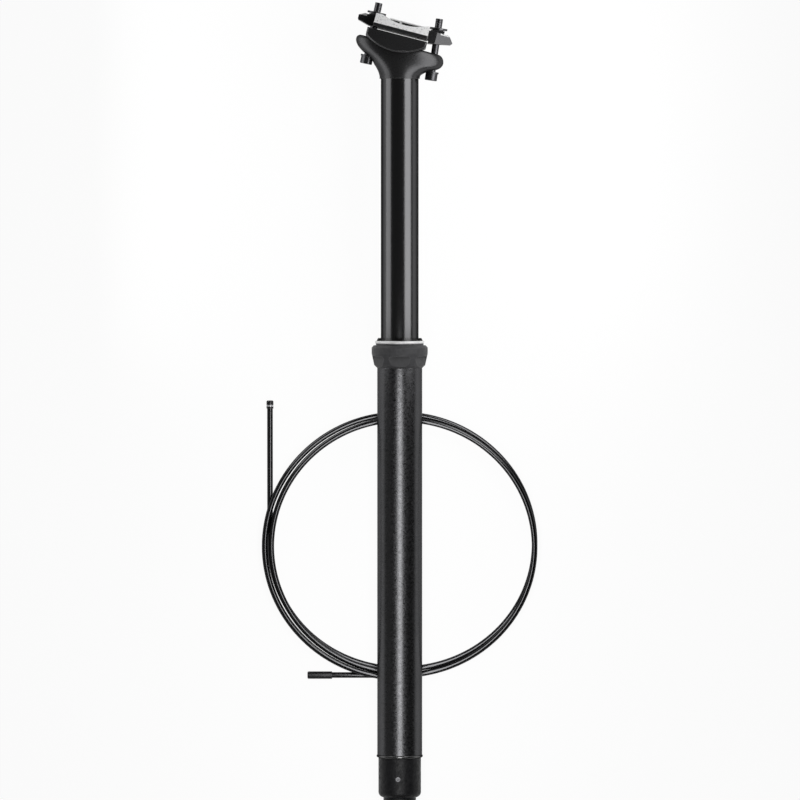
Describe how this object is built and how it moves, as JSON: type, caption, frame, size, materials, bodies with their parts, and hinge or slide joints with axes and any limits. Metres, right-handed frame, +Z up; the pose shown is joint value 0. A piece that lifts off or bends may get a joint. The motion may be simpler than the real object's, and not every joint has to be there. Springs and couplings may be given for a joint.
{
  "type": "dropper seatpost",
  "caption": "Telescoping seatpost with a two-bolt saddle clamp, gas-spring cartridge, cable actuator at its foot and loose cable housing.",
  "frame": {"origin": "middle of the post's box without the cable housing, on the surface the post lies on", "axes": "+Y along the post towards the saddle clamp, +X towards the front of the bicycle, +Z up from the surface, which is the bicycle's right-hand side"},
  "size_m": [0.1948, 0.5726, 0.053],
  "materials": {
    "tube_anodised": "satin black",
    "stanchion_anodised": "gloss black hard anodised",
    "collar_anodised": "matte dark grey",
    "head_anodised": "satin black anodised forging",
    "bright_ring": "bright turned",
    "raw_aluminium": "machined",
    "seal_rubber": "gloss black rubber",
    "bushing_polymer": "grey polymer",
    "actuator_plastic": "mottled matte black",
    "steel": "ground steel",
    "black_steel": "black oxide steel",
    "brass": "turned brass",
    "housing_jacket": "gloss black jacket",
    "cap_plastic": "black moulded"
  },
  "bodies": {
    "root": {"outer_tube": "tube_anodised", "seal_collar": "collar_anodised", "trim_ring": "bright_ring", "wiper_seal": "seal_rubber", "upper_bushing": "bushing_polymer", "foot_o_ring": "seal_rubber", "actuator_housing": "actuator_plastic", "lever_pin": "steel", "actuator_set_screw": "steel", "cartridge_rod": "steel", "rod_piston": "brass", "rod_nut": "steel", "housing_a_coil": "housing_jacket", "housing_a_tail": "housing_jacket", "housing_a_crimp": "cap_plastic", "housing_a_end_cap": "cap_plastic", "housing_b_coil": "housing_jacket", "housing_b_tail": "housing_jacket", "housing_b_crimp": "cap_plastic", "housing_b_end_cap": "cap_plastic"},
    "stanchion": {"stanchion_tube": "stanchion_anodised", "clamp_head": "head_anodised", "guide_sleeve": "bushing_polymer", "guide_keys": "brass", "cartridge_cylinder": "raw_aluminium", "gland_nut": "raw_aluminium", "cartridge_pad": "seal_rubber"},
    "floating_piston": {"floating_piston": "raw_aluminium"},
    "lever": {"actuator_lever": "steel"},
    "valve": {"valve_pin": "steel"},
    "clamp": {"lower_cradle": "head_anodised", "upper_clamp": "head_anodised"},
    "rear_bolt": {"rear_bolt": "black_steel", "rear_washer": "black_steel"},
    "front_bolt": {"front_bolt": "black_steel", "front_washer": "black_steel"},
    "rear_nut": {"rear_nut": "black_steel"},
    "front_nut": {"front_nut": "black_steel"}
  },
  "joints": [
    {"name": "post_drop", "type": "slide", "parent": "root", "child": "stanchion", "axis": [0, -1, 0], "range_m": [0, 0.17]},
    {"name": "floating_piston_slide", "type": "slide", "parent": "stanchion", "child": "floating_piston", "axis": [0, 1, 0], "range_m": [0, 0.03946]},
    {"name": "lever_turn", "type": "hinge", "parent": "root", "child": "lever", "pos_m": [-0.0032, -0.2735, 0.0209], "axis": [-1, 0, 0], "range_deg": [0, 15]},
    {"name": "valve_push", "type": "slide", "parent": "root", "child": "valve", "axis": [0, 1, 0], "range_m": [0, 0.00146], "stiffness_N_per_m": 3000},
    {"name": "clamp_tilt", "type": "hinge", "parent": "stanchion", "child": "clamp", "pos_m": [0, 0.2843, 0.0265], "axis": [0, 0, 1], "range_deg": [-5, 5]},
    {"name": "rear_bolt_swing", "type": "hinge", "parent": "stanchion", "child": "rear_bolt", "pos_m": [-0.02566, 0.24859, 0.0265], "axis": [0, 0, 1], "range_deg": [-3, 3]},
    {"name": "rear_nut_turn", "type": "hinge", "parent": "clamp", "child": "rear_nut", "pos_m": [-0.01951, 0.27675, 0.0265], "axis": [0, 0, 1], "range_deg": [-8, 8]},
    {"name": "front_bolt_swing", "type": "hinge", "parent": "stanchion", "child": "front_bolt", "pos_m": [0.01936, 0.23694, 0.0265], "axis": [0, 0, 1], "range_deg": [-3, 3]},
    {"name": "front_nut_turn", "type": "hinge", "parent": "clamp", "child": "front_nut", "pos_m": [0.02347, 0.26563, 0.0265], "axis": [0, 0, 1], "range_deg": [-8, 8]}
  ],
  "couplings": [
    {"joint": "floating_piston_slide", "follows": "post_drop", "ratio": 0.22918},
    {"joint": "lever_turn", "follows": "valve_push", "rad_per_m": 178.57},
    {"joint": "rear_bolt_swing", "follows": "clamp_tilt", "ratio": -0.4005},
    {"joint": "rear_nut_turn", "follows": "clamp_tilt", "ratio": -1.4005},
    {"joint": "front_bolt_swing", "follows": "clamp_tilt", "ratio": -0.5229},
    {"joint": "front_nut_turn", "follows": "clamp_tilt", "ratio": -1.5229}
  ]
}
